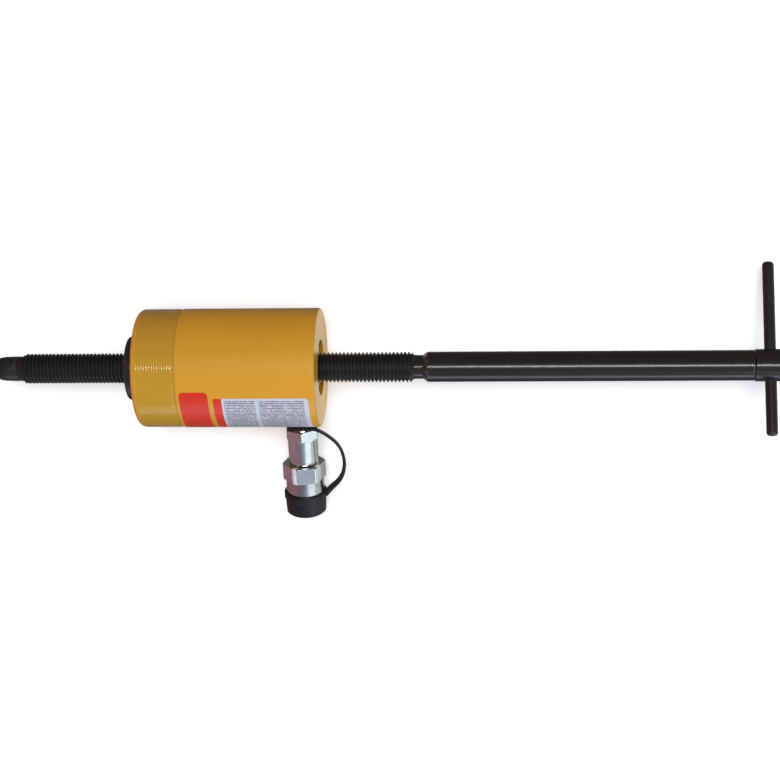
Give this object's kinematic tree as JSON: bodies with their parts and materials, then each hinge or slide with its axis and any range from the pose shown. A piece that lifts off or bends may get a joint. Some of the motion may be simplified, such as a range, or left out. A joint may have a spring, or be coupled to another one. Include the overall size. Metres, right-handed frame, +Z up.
{
  "type": "hydraulic ram",
  "caption": "Hollow-plunger hydraulic ram with a threaded forcing screw, sliding T-handle and capped hose coupler.",
  "frame": {"origin": "on the ram's axis, in the plane of the base face", "axes": "+X along the axis from the base towards the T-handle, +Z up as the ram lies on its barrel and its dust cap, coupler towards -Y"},
  "size_m": [0.666, 0.2143, 0.0986],
  "materials": {
    "yellow_paint": "glossy enamel",
    "black_oxide": "black oxide on turned steel",
    "black_saddle": "black oxide",
    "bare_steel": "machined",
    "hard_chrome": "polished",
    "zinc_plate": "bright zinc",
    "bronze": "plain",
    "seal_rubber": "matt",
    "cap_rubber": "satin moulded rubber",
    "spring_steel": "oiled",
    "label_red": "vinyl film",
    "label_pale": "vinyl film"
  },
  "bodies": {
    "ram": {"cylinder_body": "yellow_paint", "centre_tube": "bare_steel", "tube_base_oring": "seal_rubber", "gland_nut": "black_saddle", "wiper_ring": "seal_rubber", "return_spring": "spring_steel", "coupler_body": "zinc_plate", "coupler_snap_ring": "spring_steel", "coupler_nose_oring": "seal_rubber", "poppet_spring": "spring_steel", "strap_ring": "cap_rubber", "cap_strap": "cap_rubber", "label_patch_red": "label_red", "label_strip_red": "label_red", "label_panel_pale": "label_pale"},
    "plunger_set": {"plunger": "hard_chrome", "piston_head": "bare_steel", "piston_seal": "seal_rubber", "piston_wear_ring": "bronze", "inner_seal": "seal_rubber", "saddle": "black_saddle"},
    "tip": {"swivel_tip": "black_oxide"},
    "screw": {"forcing_screw": "black_oxide", "handle_hub": "black_oxide", "hub_pin": "bare_steel", "detent_ball": "bare_steel", "detent_spring": "spring_steel", "detent_grub_screw": "black_oxide", "thrust_ball": "bare_steel", "tip_clip": "spring_steel"},
    "handle_bar": {"t_bar": "black_oxide"},
    "coupler_union": {"coupler_sleeve": "zinc_plate"},
    "cap": {"dust_cap": "cap_rubber"},
    "poppet": {"coupler_poppet": "bare_steel"}
  },
  "joints": [
    {"name": "plunger_slide", "type": "slide", "parent": "ram", "child": "plunger_set", "axis": [-1, 0, 0], "range_m": [0, 0.05], "stiffness_N_per_m": 4000, "springref_m": -0.06, "deforming": ["return_spring"]},
    {"name": "screw_advance", "type": "slide", "parent": "plunger_set", "child": "tip", "axis": [-1, 0, 0], "range_m": [-0.08751, 0.20481]},
    {"name": "screw_turn", "type": "hinge", "parent": "tip", "child": "screw", "pos_m": [0, 0, 0], "axis": [-1, 0, 0], "range_deg": [-9900, 23200]},
    {"name": "bar_slide", "type": "slide", "parent": "screw", "child": "handle_bar", "axis": [0, 0.9403, -0.3404], "range_m": [-0.069, 0.041]},
    {"name": "sleeve_spin", "type": "hinge", "parent": "ram", "child": "coupler_union", "pos_m": [-0.01905, 0, 0], "axis": [0, -0.9703, -0.2419], "continuous": true},
    {"name": "cap_pull", "type": "slide", "parent": "ram", "child": "cap", "axis": [0, -0.9703, -0.2419], "range_m": [0, 0.014], "deforming": ["cap_strap"]},
    {"name": "poppet_press", "type": "slide", "parent": "ram", "child": "poppet", "axis": [0, 0.9703, 0.2419], "range_m": [0, 0.003], "stiffness_N_per_m": 1500, "springref_m": -0.004, "deforming": ["poppet_spring"]}
  ],
  "couplings": [
    {"joint": "screw_advance", "follows": "screw_turn", "m_per_rad": 0.00050532}
  ]
}
